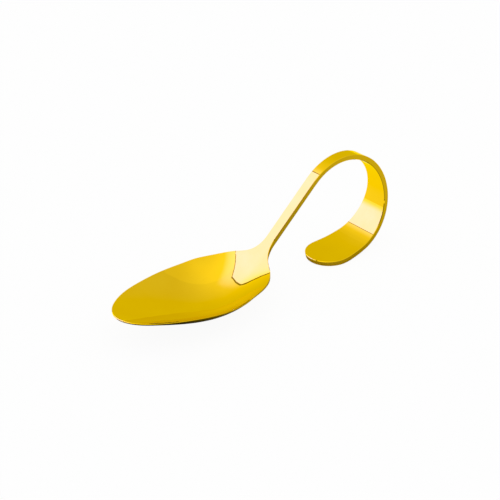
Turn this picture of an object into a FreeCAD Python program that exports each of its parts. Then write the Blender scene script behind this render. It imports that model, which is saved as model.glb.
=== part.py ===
import FreeCAD, Part
import math
import os

# Curled tasting spoon, one solid of polished steel, in millimetres.
# An egg-shaped bowl runs up into a narrow stem, and the stem widens into a strip
# that curls over and back under itself, so the spoon stands on its bowl and on its curl.
# +X runs from the tip of the bowl to the curl, +Y across, +Z up from the table.

# Outline of the bowl seen from above: one smooth line round the tip and on through these widths,
# each so far behind the one before it, until the sides run straight along the stem.
# Nose, front, back and heel are shares of the full width of the bowl.
TIP_RADIUS = 8.3
NOSE_LENGTH = 7.0
NOSE_SHARE = 0.562
FRONT_LENGTH = 13.0
FRONT_SHARE = 0.868
MIDDLE_LENGTH = 14.0
BOWL_WIDTH = 36.3
BACK_LENGTH = 14.0
BACK_SHARE = 0.873
HEEL_LENGTH = 9.5
HEEL_SHARE = 0.5565
NECK_LENGTH = 4.5
NECK_WIDTH = 7.25
ROOT_LENGTH = 4.0
STEM_WIDTH = 4.2

# Dish of the bowl: the floor line from tip to neck, and how the wall rises to both sides of it.
# The floor is lifted a little at the front and dropped a little at the back, between its straight ends.
# Out at DOUBLED_RISE_AT from the middle, the steepening wall would stand twice as high as a plain dish.
# Over FADING_LENGTH the dish flattens out towards the end of the floor line.
TIP_SLOPE = 20.6
STEM_SLOPE = 42.8
NECK_ABOVE_TIP = 8.2
FRONT_LIFT = 1.4
BACK_DROP = 0.7
FLOOR_PAST_ROOT = 1.65
FLOOR_RADIUS = 25.6
DOUBLED_RISE_AT = 44.5
FADING_LENGTH = 23.4

# Thickness of the metal.
BOWL_THICKNESS = 1.3
RIM_THICKNESS = 0.55
NECK_THICKNESS = 1.85
END_THICKNESS = 2.1

# Curl of the handle, measured along its upper side: two bends, then an easy bend into a level foot.
BEND_RADIUS = 21.2
BEND_TURN = 125.3
RETURN_RADIUS = 18.3
RETURN_TURN = 82.0
EASING_RADIUS = 47.2
LEVEL_LENGTH = 8.0
HANDLE_WIDTH = 17.7
NARROW_LENGTH = 8.7
END_ROUNDING = 10.2

EDGE_BREAK = 0.2

# The bowl is cut from a blank that stands out past the rim by this much.
BLANK_OVERHANG = 1.8

WIDEST_AT = NOSE_LENGTH + FRONT_LENGTH + MIDDLE_LENGTH
STEM_AT = WIDEST_AT + BACK_LENGTH + HEEL_LENGTH + NECK_LENGTH + ROOT_LENGTH
FLOOR_LENGTH = STEM_AT + FLOOR_PAST_ROOT
BLANK_HALF_WIDTH = BOWL_WIDTH / 2 + BLANK_OVERHANG


def vector(x, y, z):
    return FreeCAD.Vector(x, y, z)


def smooth_step(value):
    value = min(max(value, 0.0), 1.0)
    return value * value * value * (10 - 15 * value + 6 * value * value)


def direction(heading):
    return vector(math.cos(heading), 0, math.sin(heading))


def upward(heading):
    return vector(-math.sin(heading), 0, math.cos(heading))


def along_arc(start, heading, radius, turn):
    """Point and heading at the end of an arc in its own flat plane. A negative turn goes clockwise."""
    side = math.copysign(1.0, turn)
    centre_a = start[0] - side * radius * math.sin(heading)
    centre_b = start[1] + side * radius * math.cos(heading)
    heading = heading + turn
    end = (centre_a + side * radius * math.sin(heading), centre_b - side * radius * math.cos(heading))
    return end, heading


def bowl_outline():
    """Closed plan outline of bowl and neck, mirrored over the long axis."""
    turned = math.radians(30)
    half = [vector(0, 0, 0), vector(TIP_RADIUS * (1 - math.cos(turned)), TIP_RADIUS * math.sin(turned), 0)]
    place = 0.0
    for length, width in ((NOSE_LENGTH, BOWL_WIDTH * NOSE_SHARE), (FRONT_LENGTH, BOWL_WIDTH * FRONT_SHARE),
                          (MIDDLE_LENGTH, BOWL_WIDTH), (BACK_LENGTH, BOWL_WIDTH * BACK_SHARE),
                          (HEEL_LENGTH, BOWL_WIDTH * HEEL_SHARE),
                          (NECK_LENGTH, NECK_WIDTH), (ROOT_LENGTH, STEM_WIDTH)):
        place = place + length
        half.append(vector(place, width / 2, 0))
    other = [vector(point.x, -point.y, 0) for point in reversed(half[1:])]
    curve = Part.BSplineCurve()
    curve.interpolate(Points=other + half, Scale=False,
                      InitialTangent=vector(-1, 0, 0), FinalTangent=vector(1, 0, 0))
    end = FLOOR_LENGTH + NECK_THICKNESS * 2
    corners = [half[-1], vector(end, STEM_WIDTH / 2, 0), vector(end, -STEM_WIDTH / 2, 0), other[0]]
    return Part.Wire([curve.toShape()] + Part.makePolygon(corners).Edges)


def floor_line():
    """Middle of the bowl's upper face, from tip to neck, on six evenly spaced poles."""
    leg = FLOOR_LENGTH / 5
    fall = leg * math.tan(math.radians(TIP_SLOPE))
    climb = leg * math.tan(math.radians(STEM_SLOPE))
    heights = [0, -fall, -2 * fall + FRONT_LIFT,
               NECK_ABOVE_TIP - 2 * climb - BACK_DROP, NECK_ABOVE_TIP - climb, NECK_ABOVE_TIP]
    curve = Part.BezierCurve()
    curve.setPoles([vector(leg * step, 0, height) for step, height in enumerate(heights)])
    return curve


def bowl_stations():
    """Point, heading, fade of the dish and thickness at each section of the bowl, set down on the table."""
    curve = floor_line()
    count = 20
    stations = []
    for step in range(count + 1):
        point = curve.value(step / count)
        tangent = curve.tangent(step / count)[0]
        heading = math.atan2(tangent.z, tangent.x)
        fade = smooth_step((point.x - FLOOR_LENGTH + FADING_LENGTH) / FADING_LENGTH)
        thinning = (BOWL_THICKNESS - RIM_THICKNESS) * max(1 - point.x / WIDEST_AT, 0) ** 2
        thickness = BOWL_THICKNESS - thinning + (NECK_THICKNESS - BOWL_THICKNESS) * fade
        stations.append((point, heading, 1 - fade, thickness))
    point, heading, dish, thickness = stations[0]
    stations.insert(0, (point - direction(heading) * BOWL_THICKNESS * 2, heading, dish, thickness))
    lowest = min((point - upward(heading) * thickness).z for point, heading, dish, thickness in stations)
    return [(point - vector(0, 0, lowest), *rest) for point, *rest in stations]


def bowl_poles(middle, heading, lift, steepening):
    """Poles of a line across the blank that rises from its middle towards both sides."""
    lifts = [lift + steepening, -steepening, steepening - lift / 3, -steepening, lift + steepening]
    poles = []
    for step, height in enumerate(lifts):
        aside = vector(0, BLANK_HALF_WIDTH * (step / 2 - 1), 0)
        poles.append(middle + aside + upward(heading) * height)
    return poles


def bowl_section(middle, heading, dish, thickness):
    """Upper and lower line of the bowl's sheet, square to the floor line, thinner towards the rim."""
    lift = dish * BLANK_HALF_WIDTH * BLANK_HALF_WIDTH / (2 * FLOOR_RADIUS)
    steepening = lift * (BLANK_HALF_WIDTH / DOUBLED_RISE_AT) ** 2
    thinning = dish * (BOWL_THICKNESS - RIM_THICKNESS) * (BLANK_HALF_WIDTH * 2 / BOWL_WIDTH) ** 2
    below = middle - upward(heading) * thickness
    return (bowl_poles(middle, heading, lift, steepening),
            bowl_poles(below, heading, lift + thinning, steepening))


def skin(rows, places, headings, flare):
    """Smooth face through rows of poles, one row for each section, in line with the sheet at both ends."""
    guides = []
    for points in zip(*rows):
        outward = vector(0, math.copysign(flare, points[-1].y), 0)
        guide = Part.BSplineCurve()
        guide.interpolate(Points=list(points), Parameters=places, Scale=False,
                          InitialTangent=direction(headings[0]),
                          FinalTangent=direction(headings[-1]) + outward)
        guides.append(guide)
    across = len(guides) - 1
    poles = [guide.getPoles() for guide in guides]
    along = guides[0]
    surface = Part.BSplineSurface()
    surface.buildFromPolesMultsKnots(poles, [across + 1, across + 1], along.getMultiplicities(),
                                     [0, 1], along.getKnots(), False, False, across, along.Degree)
    return surface.toShape()


def sheet(sections, middles, headings, flare):
    """Closed solid between the upper and the lower lines of all its sections, whose sides end flared."""
    places = [0.0]
    for previous, point in zip(middles, middles[1:]):
        places.append(places[-1] + previous.distanceToPoint(point))
    skins = [[upper for upper, lower in sections],
             [lower for upper, lower in sections],
             [(upper[0], lower[0]) for upper, lower in sections],
             [(upper[-1], lower[-1]) for upper, lower in sections]]
    faces = [skin(rows, places, headings, flare) for rows in skins]
    for upper, lower in (sections[0], sections[-1]):
        lines = []
        for poles in (upper, (upper[-1], lower[-1]), lower, (upper[0], lower[0])):
            line = Part.BezierCurve()
            line.setPoles(list(poles))
            lines.append(line.toShape())
        faces.append(Part.Face(Part.Wire(Part.__sortEdges__(lines))))
    shell = Part.makeShell(faces)
    shell.sewShape()
    return Part.makeSolid(shell)


def curl_stations(neck):
    """Point, heading and distance along the upper side of the handle, from neck to foot."""
    slope = math.radians(STEM_SLOPE)
    bends = [(BEND_RADIUS, -math.radians(BEND_TURN)), (RETURN_RADIUS, -math.radians(RETURN_TURN))]
    foot_turn = math.radians(BEND_TURN + RETURN_TURN - STEM_SLOPE - 180)

    # The straight stem takes up the height that the curl needs to come down level on the table.
    point, heading = (0.0, 0.0), slope
    for radius, turn in bends + [(EASING_RADIUS, foot_turn)]:
        point, heading = along_arc(point, heading, radius, turn)
    straight = (-point[1] - neck.z) / math.sin(slope)

    stations = []
    for step in range(6):
        run = straight * step / 6
        stations.append((neck + direction(slope) * run, slope, run))
    bend = neck + direction(slope) * straight
    point, heading, travelled = (bend.x, bend.z), slope, straight
    for radius, turn in bends:
        length = radius * abs(turn)
        steps = round(length / 3)
        for step in range(steps):
            place, facing = along_arc(point, heading, radius, turn * step / steps)
            stations.append((vector(place[0], 0, place[1]), facing, travelled + length * step / steps))
        point, heading = along_arc(point, heading, radius, turn)
        travelled = travelled + length
    stations.append((vector(point[0], 0, point[1]), heading, travelled))
    return stations


def half_width(travelled, whole):
    """Half the width of the strip: narrow at first, then widening smoothly to the end."""
    part = min(max((travelled - NARROW_LENGTH) / (whole - NARROW_LENGTH), 0.0), 1.0)
    growth = (part * part * (3 - 2 * part)) ** 2
    return (STEM_WIDTH + (HANDLE_WIDTH - STEM_WIDTH) * growth) / 2


def strip_section(middle, heading, half, thickness):
    """Upper and lower line of the strip, square to its path."""
    side = vector(0, half, 0)
    below = middle - upward(heading) * thickness
    return [middle - side, middle + side], [below - side, below + side]


def foot_outline(start, heading, travelled, whole, flare):
    """Outline of the foot, drawn square to the strip where the foot begins: widening sides, rounded end."""
    side = []
    easing = whole - travelled - LEVEL_LENGTH
    straight = whole - travelled - END_ROUNDING
    for run in (0, straight / 3, straight * 2 / 3):
        side.append((run, half_width(travelled + run, whole)))
    for step in range(7):
        turned = math.radians(15 * step)
        run = straight + END_ROUNDING * math.sin(turned)
        side.append((run, half_width(travelled + run, whole) * math.cos(turned)))
    near = []
    for run, half in side:
        turned = min(run, easing) / EASING_RADIUS
        forward = EASING_RADIUS * math.sin(turned) + max(run - easing, 0) * math.cos(turned)
        near.append(start + direction(heading) * forward - vector(0, half, 0))
    far = [vector(point.x, -point.y, point.z) for point in reversed(near[:-1])]
    curve = Part.BSplineCurve()
    leaving = direction(heading) - vector(0, flare, 0)
    coming = vector(0, -flare, 0) - direction(heading)
    curve.interpolate(Points=near + far, Scale=False, InitialTangent=leaving, FinalTangent=coming)
    back = direction(heading) * END_THICKNESS
    corners = [far[-1], far[-1] - back, near[0] - back, near[0]]
    border = Part.Wire([curve.toShape()] + Part.makePolygon(corners).Edges)
    return Part.Face(border)


def is_sharp(solid, edge):
    """True where two faces meet at a clear angle, so that smooth seams are left alone."""
    faces = solid.ancestorsOfType(edge, Part.Face)
    if len(faces) != 2:
        return False
    middle = edge.valueAt((edge.FirstParameter + edge.LastParameter) / 2)
    normals = [face.normalAt(*face.Surface.parameter(middle)) for face in faces]
    return normals[0].getAngle(normals[1]) > math.radians(25)


# Bowl: a dished sheet, cut upright along the plan outline.
stations = bowl_stations()
sections = [bowl_section(*station) for station in stations]
blank = sheet(sections, [station[0] for station in stations], [station[1] for station in stations], 0)
outline = bowl_outline()
outline.translate(vector(0, 0, -BLANK_HALF_WIDTH))
bowl = blank.common(Part.Face(outline).extrude(vector(0, 0, BLANK_HALF_WIDTH * 3)))

# Stem and curl: a flat strip that thickens and widens as it bends.
path = curl_stations(stations[-1][0])
start, heading, travelled = path[-1]
level = -math.pi
whole = travelled + EASING_RADIUS * (heading - level) + LEVEL_LENGTH
sections = []
for middle, facing, run in path:
    thickness = NECK_THICKNESS + (END_THICKNESS - NECK_THICKNESS) * smooth_step(run / travelled)
    sections.append(strip_section(middle, facing, half_width(run, whole), thickness))
flare = (half_width(travelled + 0.01, whole) - half_width(travelled - 0.01, whole)) / 0.02
curl = sheet(sections, [station[0] for station in path], [station[1] for station in path], flare)

# Foot: the strip eases down and lies level on the table. It is cut to its outline from a wider piece.
foot_path = []
for step in range(5):
    place, facing = along_arc((start.x, start.z), heading, EASING_RADIUS, (level - heading) * step / 4)
    foot_path.append((vector(place[0], 0, place[1]), facing))
landing = foot_path[-1][0]
for step in range(1, 5):
    foot_path.append((landing + direction(level) * LEVEL_LENGTH * step / 3, level))
sections = [strip_section(middle, facing, BLANK_HALF_WIDTH, END_THICKNESS) for middle, facing in foot_path]
foot = sheet(sections, [station[0] for station in foot_path], [station[1] for station in foot_path], 0)
outline = foot_outline(start, heading, travelled, whole, flare)
outline.translate(upward(heading) * BLANK_HALF_WIDTH / 2)
foot = foot.common(outline.extrude(upward(heading) * -BLANK_HALF_WIDTH))

spoon = bowl.fuse([curl, foot]).removeSplitter().Solids[0]

# The long edges are broken, around the underside and then around the upper side.
marks = [stations[len(stations) // 2][:2], path[len(path) // 2][:2], foot_path[3]]
for side in (-1, 1):
    rays = [Part.makeLine(middle + upward(facing) * (side - 1) / 2 * BOWL_THICKNESS / 2,
                          middle + upward(facing) * side * END_THICKNESS * 2) for middle, facing in marks]
    faces = [face for face in spoon.Faces if any(face.distToShape(ray)[0] < 1e-6 for ray in rays)]
    edges = [edge for face in faces for edge in face.Edges if is_sharp(spoon, edge)]
    spoon = spoon.makeChamfer(EDGE_BREAK, edges).Solids[0]

# The origin lies under the middle of the spoon.
box = spoon.optimalBoundingBox()
spoon.translate(vector(-(box.XMin + box.XMax) / 2, 0, -box.ZMin))

os.makedirs("parts", exist_ok=True)
spoon.exportStep("parts/spoon.step")
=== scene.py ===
import math

import bmesh
import bpy
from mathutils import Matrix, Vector

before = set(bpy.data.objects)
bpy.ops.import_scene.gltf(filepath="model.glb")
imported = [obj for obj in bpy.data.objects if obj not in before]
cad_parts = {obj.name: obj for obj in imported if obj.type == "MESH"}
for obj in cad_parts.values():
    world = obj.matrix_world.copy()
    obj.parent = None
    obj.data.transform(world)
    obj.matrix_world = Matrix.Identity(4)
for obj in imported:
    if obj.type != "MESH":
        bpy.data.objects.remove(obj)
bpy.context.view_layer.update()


# Camera: the photograph looks down on the spoon from the tip's side, about 29 degrees
# above the table, with a long lens, so that the bowl lies left and the curl stands right.
camera_data = bpy.data.cameras.new("camera")
camera = bpy.data.objects.new("camera", camera_data)
bpy.context.scene.collection.objects.link(camera)
bpy.context.scene.camera = camera
camera_data.sensor_width = 36.0
camera_data.lens = 86.17
camera_target = Vector((-0.00338, 0.0, 0.01585))
camera_distance = 0.41972
camera_turn = math.radians(-39.446)
camera_height = math.radians(29.423)
towards_camera = Vector((math.sin(camera_turn) * math.cos(camera_height),
                         -math.cos(camera_turn) * math.cos(camera_height),
                         math.sin(camera_height)))
camera.location = camera_target + towards_camera * camera_distance
camera.rotation_euler = towards_camera.to_track_quat("Z", "Y").to_euler()


# Spoon: one piece of stainless steel, stamped, bent, polished to a mirror and plated in
# lemon-coloured gold. The polish is not quite even: it has a faint swell, a haze that
# comes and goes, and fine wiping scratches that run along the spoon.
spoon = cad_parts["spoon"]
gold = bpy.data.materials.new("polished_gold")
gold.use_nodes = True
gold_nodes = gold.node_tree.nodes
gold_links = gold.node_tree.links
gold_shader = gold_nodes["Principled BSDF"]
gold_shader.inputs["Metallic"].default_value = 1.0
gold_shader.inputs["Specular Tint"].default_value = (1.0, 0.92, 0.06, 1.0)
gold_place = gold_nodes.new("ShaderNodeTexCoord").outputs["Object"]


def gold_noise(scale, detail, place):
    """A noise over the gold, with about as many bumps to a metre as its scale says."""
    noise = gold_nodes.new("ShaderNodeTexNoise")
    noise.inputs["Scale"].default_value = scale
    noise.inputs["Detail"].default_value = detail
    gold_links.new(place, noise.inputs["Vector"])
    return noise.outputs["Fac"]


def gold_bump(height, distance):
    """A bump node for the gold, as deep as its distance in metres."""
    bump = gold_nodes.new("ShaderNodeBump")
    bump.inputs["Strength"].default_value = 1.0
    bump.inputs["Distance"].default_value = distance
    gold_links.new(height, bump.inputs["Height"])
    return bump


noise_low, noise_high = 0.3, 0.7
plating_colour = gold_nodes.new("ShaderNodeValToRGB")
deeper, paler = plating_colour.color_ramp.elements
deeper.position, deeper.color = noise_low, (0.965, 0.605, 0.009, 1.0)
paler.position, paler.color = noise_high, (0.990, 0.635, 0.012, 1.0)
gold_links.new(gold_noise(90.0, 3.0, gold_place), plating_colour.inputs["Fac"])

# What the gold mirrors of itself stays lemon, where plain gold would turn orange.
second_look = gold_nodes.new("ShaderNodeLightPath")
second_colour = gold_nodes.new("ShaderNodeMix")
second_colour.data_type = "RGBA"
second_colour.inputs["B"].default_value = (0.90, 0.88, 0.80, 1.0)
gold_links.new(second_look.outputs["Is Glossy Ray"], second_colour.inputs["Factor"])
gold_links.new(plating_colour.outputs["Color"], second_colour.inputs["A"])
gold_links.new(second_colour.outputs["Result"], gold_shader.inputs["Base Color"])

# The roughness follows the haze, and the wipes for a part: short across and long along.
smoothest, roughest = 0.010, 0.040
wipes_part = 0.4
wipe_stretch = gold_nodes.new("ShaderNodeMapping")
wipe_stretch.inputs["Scale"].default_value = (120.0, 2600.0, 900.0)
gold_links.new(gold_place, wipe_stretch.inputs["Vector"])
wipes = gold_noise(1.0, 2.0, wipe_stretch.outputs["Vector"])
haze = gold_noise(260.0, 4.0, gold_place)
unevenness = gold_nodes.new("ShaderNodeMix")
unevenness.data_type = "FLOAT"
unevenness.inputs["Factor"].default_value = wipes_part
gold_roughness = gold_nodes.new("ShaderNodeMapRange")
gold_roughness.inputs["From Min"].default_value = noise_low
gold_roughness.inputs["From Max"].default_value = noise_high
gold_roughness.inputs["To Min"].default_value = smoothest
gold_roughness.inputs["To Max"].default_value = roughest
gold_links.new(haze, unevenness.inputs["A"])
gold_links.new(wipes, unevenness.inputs["B"])
gold_links.new(unevenness.outputs["Result"], gold_roughness.inputs["Value"])
gold_links.new(gold_roughness.outputs["Result"], gold_shader.inputs["Roughness"])

swell_depth = 0.00003
wipe_depth = 0.0000003
swell_bump = gold_bump(gold_noise(110.0, 0.0, gold_place), swell_depth)
wipe_bump = gold_bump(wipes, wipe_depth)
gold_links.new(swell_bump.outputs["Normal"], wipe_bump.inputs["Normal"])
gold_links.new(wipe_bump.outputs["Normal"], gold_shader.inputs["Normal"])
spoon.data.materials.clear()
spoon.data.materials.append(gold)


# Table: plain white paint, lit as any floor is, and whitened where it is seen directly
# or in the metal, so that only the shadow of the spoon stays on it.
table_half_width = 3.0
table_shape = bmesh.new()
bmesh.ops.create_grid(table_shape, x_segments=1, y_segments=1, size=table_half_width)


def new_object(name, shape):
    """Put a finished shape into the scene as an object of its own."""
    data = bpy.data.meshes.new(name)
    shape.to_mesh(data)
    shape.free()
    thing = bpy.data.objects.new(name, data)
    bpy.context.scene.collection.objects.link(thing)
    return thing


table = new_object("table", table_shape)
white = bpy.data.materials.new("white_table")
white.use_nodes = True
white_tree = white.node_tree
table_paint = white_tree.nodes["Principled BSDF"]
table_paint.inputs["Base Color"].default_value = (0.85, 0.85, 0.85, 1.0)
table_paint.inputs["Roughness"].default_value = 1.0
table_paint.inputs["Specular IOR Level"].default_value = 0.0


def calculate(tree, operation, *values):
    """One step of arithmetic on numbers or on the results of other nodes."""
    step = tree.nodes.new("ShaderNodeMath")
    step.operation = operation
    for socket, value in zip(step.inputs, values):
        if isinstance(value, bpy.types.NodeSocket):
            tree.links.new(value, socket)
        else:
            socket.default_value = value
    return step.outputs[0]


whitened_share = 0.94
table_path = white_tree.nodes.new("ShaderNodeLightPath").outputs
table_seen = calculate(white_tree, "MAXIMUM",
                       table_path["Is Camera Ray"], table_path["Is Glossy Ray"])
table_seen = calculate(white_tree, "MAXIMUM", table_path["Is Transmission Ray"], table_seen)
table_share = calculate(white_tree, "MULTIPLY", table_seen, whitened_share)
table_glow = white_tree.nodes.new("ShaderNodeEmission")
table_mix = white_tree.nodes.new("ShaderNodeMixShader")
white_tree.links.new(table_share, table_mix.inputs[0])
white_tree.links.new(table_paint.outputs[0], table_mix.inputs[1])
white_tree.links.new(table_glow.outputs[0], table_mix.inputs[2])
white_tree.links.new(table_mix.outputs[0], white_tree.nodes["Material Output"].inputs["Surface"])
table.data.materials.append(white)


# Dark card: a sheet of painted shade that lies on the table in front of the spoon, where only the
# metal sees it.
# Its mirror image is painted shade that draws the dark line along the near rim and the edges of
# the stem.
card_length, card_width = 0.32, 0.14
card_middle = (0.02, -0.058, 0.0002)
card_shape = bmesh.new()
bmesh.ops.create_grid(card_shape, x_segments=1, y_segments=1, size=0.5)
bmesh.ops.scale(card_shape, vec=(card_length, card_width, 1.0), verts=card_shape.verts)
bmesh.ops.translate(card_shape, vec=card_middle, verts=card_shape.verts)
card = new_object("painted_shade_card", card_shape)


def show_only_in_metal(thing):
    """Keep a stage thing out of the picture and off the table: only reflections show it."""
    thing.visible_camera = False
    thing.visible_diffuse = False
    thing.visible_shadow = False


show_only_in_metal(card)
# The card's paper carries painted shade: greys that stand in for the shaded table as the metal
# mirrors it.
painted_shade_material = bpy.data.materials.new("painted_shade_paper")
painted_shade_material.use_nodes = True
paper_nodes = painted_shade_material.node_tree.nodes
paper_links = painted_shade_material.node_tree.links
paper = paper_nodes["Principled BSDF"]
paper.inputs["Roughness"].default_value = 1.0
paper.inputs["Specular IOR Level"].default_value = 0.0

# The painted shade is darkest at the tip of the bowl, an even grey along most of the spoon, and
# palest past the curl.
darkest_at, palest_at = -0.04, 0.10
grey_starts, grey_ends = 0.2, 0.62
paper_place = paper_nodes.new("ShaderNodeTexCoord")
paper_split = paper_nodes.new("ShaderNodeSeparateXYZ")
paper_reach = paper_nodes.new("ShaderNodeMapRange")
paper_reach.inputs["From Min"].default_value = darkest_at
paper_reach.inputs["From Max"].default_value = palest_at
painted_shade_ramp = paper_nodes.new("ShaderNodeValToRGB")
painted_shade_ramp.color_ramp.elements[0].color = (0.06, 0.06, 0.06, 1.0)
painted_shade_ramp.color_ramp.elements[1].color = (0.58, 0.58, 0.58, 1.0)
for reach in (grey_starts, grey_ends):
    painted_shade_ramp.color_ramp.elements.new(reach).color = (0.38, 0.38, 0.38, 1.0)
paper_links.new(paper_place.outputs["Object"], paper_split.inputs["Vector"])
paper_links.new(paper_split.outputs["X"], paper_reach.inputs["Value"])
paper_links.new(paper_reach.outputs["Result"], painted_shade_ramp.inputs["Fac"])
paper_links.new(painted_shade_ramp.outputs["Color"], paper.inputs["Base Color"])
card.data.materials.append(painted_shade_material)


# Room: white light all round, and a cloth tent over the table that only the metal shows.
# The tent is brighter towards its left end, has a soft edge where its roof begins, and is
# dim where the camera stands, which the gold shows as slow changes and dark edges.
world = bpy.data.worlds.new("studio")
bpy.context.scene.world = world
world.use_nodes = True
world_light = world.node_tree.nodes["Background"]
world_light.inputs["Color"].default_value = (1.0, 1.0, 1.0, 1.0)
world_light.inputs["Strength"].default_value = 1.0


def towards(turn, height):
    """The direction at a turn from +Y towards +X and a height over the table, in degrees."""
    turn, height = math.radians(turn), math.radians(height)
    return Vector((math.sin(turn) * math.cos(height),
                   math.cos(turn) * math.cos(height),
                   math.sin(height)))


def along(tree, place, weights):
    """How far a place lies along a direction."""
    product = tree.nodes.new("ShaderNodeVectorMath")
    product.operation = "DOT_PRODUCT"
    product.inputs[1].default_value = weights
    tree.links.new(place, product.inputs[0])
    return product.outputs["Value"]


def fade(tree, value, start, end, low=0.0, high=1.0):
    """A smooth change from low to high while the value goes from start to end."""
    step = tree.nodes.new("ShaderNodeMapRange")
    step.interpolation_type = "SMOOTHSTEP"
    step.inputs["From Min"].default_value = start
    step.inputs["From Max"].default_value = end
    step.inputs["To Min"].default_value = low
    step.inputs["To Max"].default_value = high
    tree.links.new(value, step.inputs["Value"])
    return step.outputs["Result"]


tent_radius = 4.3
tent_shape = bmesh.new()
bmesh.ops.create_icosphere(tent_shape, subdivisions=4, radius=tent_radius)
tent = new_object("cloth_tent", tent_shape)
show_only_in_metal(tent)
tent_cloth = bpy.data.materials.new("tent_cloth")
tent_cloth.use_nodes = True
tent_tree = tent_cloth.node_tree
tent_place = tent_tree.nodes.new("ShaderNodeTexCoord")
tent_direction = tent_tree.nodes.new("ShaderNodeVectorMath")
tent_direction.operation = "NORMALIZE"
tent_tree.links.new(tent_place.outputs["Object"], tent_direction.inputs[0])
facing = tent_direction.outputs["Vector"]

# The bright end reaches past the middle of the tent and falls off by its square.
bright_end = towards(-80, 20)
past_middle = 0.4
bright_end_gain = 0.40
brightest = 1.25
from_bright_end = along(tent_tree, facing, bright_end)
from_bright_end = calculate(tent_tree, "ADD", from_bright_end, past_middle)
from_bright_end = calculate(tent_tree, "MAXIMUM", from_bright_end, 0.0)
from_bright_end = calculate(tent_tree, "POWER", from_bright_end, 2.0)

# The walls and the roof differ by a little, and meet in a soft edge.
away_from_roof = Vector((0.605, 0.729, -0.320))
wall_ends, roof_starts = -0.10, -0.14
wall_level, roof_level = 0.70, 0.76
cloth_level = fade(tent_tree, along(tent_tree, facing, away_from_roof),
                   wall_ends, roof_starts, wall_level, roof_level)
tent_level = calculate(tent_tree, "MULTIPLY_ADD", from_bright_end, bright_end_gain, cloth_level)
tent_level = calculate(tent_tree, "MINIMUM", tent_level, brightest)

# The dim patch round the camera.
camera_end = towards(-147, 8)
dimming_starts, dimming_ends = 0.80, 0.93
dimmest = 0.15
dimming = fade(tent_tree, along(tent_tree, facing, camera_end),
               dimming_starts, dimming_ends, 1.0, dimmest)
tent_level = calculate(tent_tree, "MULTIPLY", tent_level, dimming)
tent_glow = tent_tree.nodes.new("ShaderNodeEmission")
tent_tree.links.new(tent_level, tent_glow.inputs["Strength"])
tent_tree.links.new(tent_glow.outputs[0], tent_tree.nodes["Material Output"].inputs["Surface"])
tent.data.materials.append(tent_cloth)


# Soft panel: a large light in a thin dark frame, upright behind the spoon, with its glow on
# the wall behind it. Only the metal shows them. Gold swallows blue, so both are rich in it
# and their mirror images turn out cream. The light fades at its foot.
panel_outwards = towards(-36, 0)
panel_across = towards(54, 0)


def upright_sheet(name, distance, outline, border):
    """A stage sheet that faces the spoon, with a border strip as its second material."""
    shape = bmesh.new()
    corners = []
    for aside, up in outline:
        place = panel_outwards * distance + panel_across * aside + Vector((0, 0, up))
        corners.append(shape.verts.new(place))
    face = shape.faces.new(corners)
    shape.normal_update()
    if border:
        strips = bmesh.ops.inset_individual(shape, faces=[face], thickness=border,
                                            use_even_offset=True)
        for strip in strips["faces"]:
            strip.material_index = 1
    sheet = new_object(name, shape)
    show_only_in_metal(sheet)
    return sheet


panel_distance = 0.6
frame_width = 0.03
panel_outline = ((-0.24, -0.05), (0.38, -0.05), (0.38, 0.54), (0.17, 0.93), (-0.24, 0.93))
panel = upright_sheet("soft_panel", panel_distance, panel_outline, frame_width)
lamp_cloth = bpy.data.materials.new("lamp_cloth")
lamp_cloth.use_nodes = True
cloth_tree = lamp_cloth.node_tree
cloth_place = cloth_tree.nodes.new("ShaderNodeTexCoord").outputs["Object"]
foot_dim_below, foot_bright_above = 0.02, 0.18
cloth_height = along(cloth_tree, cloth_place, (0, 0, 1))
cloth_foot = fade(cloth_tree, cloth_height, foot_dim_below, foot_bright_above)
cloth_light = cloth_tree.nodes.new("ShaderNodeMix")
cloth_light.data_type = "RGBA"
cloth_light.inputs["A"].default_value = (1.20, 1.25, 5.0, 1.0)
cloth_light.inputs["B"].default_value = (1.32, 1.43, 48.0, 1.0)
cloth_glow = cloth_tree.nodes.new("ShaderNodeEmission")
cloth_tree.links.new(cloth_foot, cloth_light.inputs["Factor"])
cloth_tree.links.new(cloth_light.outputs["Result"], cloth_glow.inputs["Color"])
cloth_tree.links.new(cloth_glow.outputs[0], cloth_tree.nodes["Material Output"].inputs["Surface"])
lamp_frame = bpy.data.materials.new("lamp_frame")
lamp_frame.use_nodes = True
frame_paint = lamp_frame.node_tree.nodes["Principled BSDF"]
frame_paint.inputs["Base Color"].default_value = (0.30, 0.30, 0.30, 1.0)
panel.data.materials.append(lamp_cloth)
panel.data.materials.append(lamp_frame)

glow_distance = 0.63
glow_strength = 14.0
glow_top, glow_full_below = 2.3, 0.9
glow_right_end, glow_full_left_of = 0.52, 0.16
glow_outline = ((-0.60, 0.0), (0.75, 0.0), (0.75, 2.4), (-0.60, 2.4))
glow = upright_sheet("panel_glow", glow_distance, glow_outline, 0)
wall_light = bpy.data.materials.new("wall_glow")
wall_light.use_nodes = True
wall_tree = wall_light.node_tree
wall_place = wall_tree.nodes.new("ShaderNodeTexCoord").outputs["Object"]
wall_height = along(wall_tree, wall_place, (0, 0, 1))
wall_height = fade(wall_tree, wall_height, glow_top, glow_full_below, 0.0, glow_strength)
wall_side = along(wall_tree, wall_place, panel_across)
wall_side = fade(wall_tree, wall_side, glow_right_end, glow_full_left_of)
glow_level = calculate(wall_tree, "MULTIPLY", wall_height, wall_side)
wall_glow = wall_tree.nodes.new("ShaderNodeEmission")
wall_glow.inputs["Color"].default_value = (0.012, 0.014, 1.0, 1.0)
wall_air = wall_tree.nodes.new("ShaderNodeBsdfTransparent")
wall_both = wall_tree.nodes.new("ShaderNodeAddShader")
wall_tree.links.new(glow_level, wall_glow.inputs["Strength"])
wall_tree.links.new(wall_glow.outputs[0], wall_both.inputs[0])
wall_tree.links.new(wall_air.outputs[0], wall_both.inputs[1])
wall_tree.links.new(wall_both.outputs[0], wall_tree.nodes["Material Output"].inputs["Surface"])
glow.data.materials.append(wall_light)

bpy.context.scene.view_settings.view_transform = "Standard"
